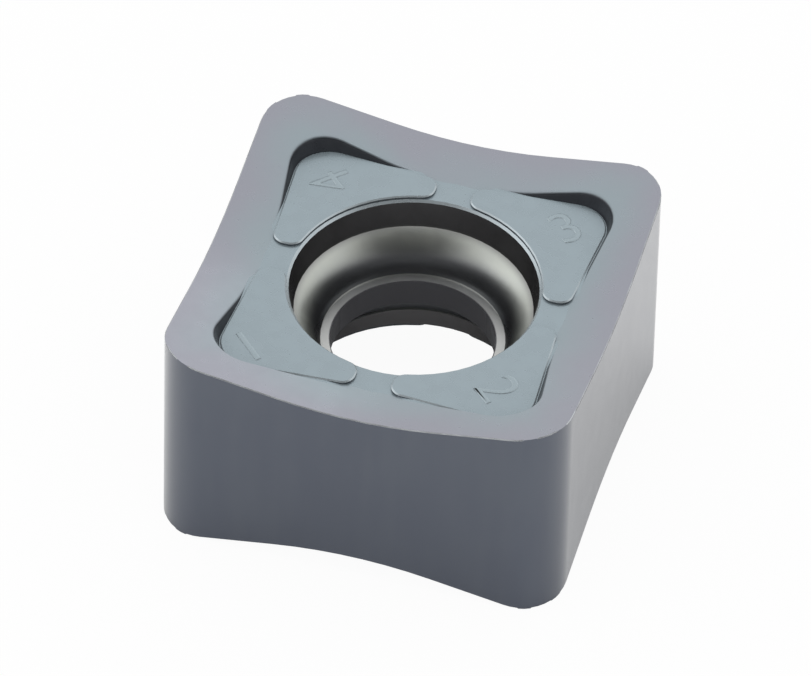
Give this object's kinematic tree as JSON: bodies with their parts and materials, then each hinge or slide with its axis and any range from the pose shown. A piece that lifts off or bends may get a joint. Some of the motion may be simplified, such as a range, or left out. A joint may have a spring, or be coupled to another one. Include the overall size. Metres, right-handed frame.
{
  "type": "carbide insert",
  "caption": "Square double-sided milling insert with a dished top, raised seating pads at its corners and a bowl-shaped screw hole through the middle.",
  "frame": {"origin": "centre of the insert at mid-height, on the axis of the screw hole", "axes": "+Z along the screw hole, out of the upper face; +X and +Y square to the flanks"},
  "size_m": [0.0126, 0.0126, 0.0072],
  "materials": {
    "carbide": "satin coated carbide, sintered on the facets and ground on the pads"
  },
  "bodies": {
    "root": {"insert": "carbide"}
  },
  "joints": []
}
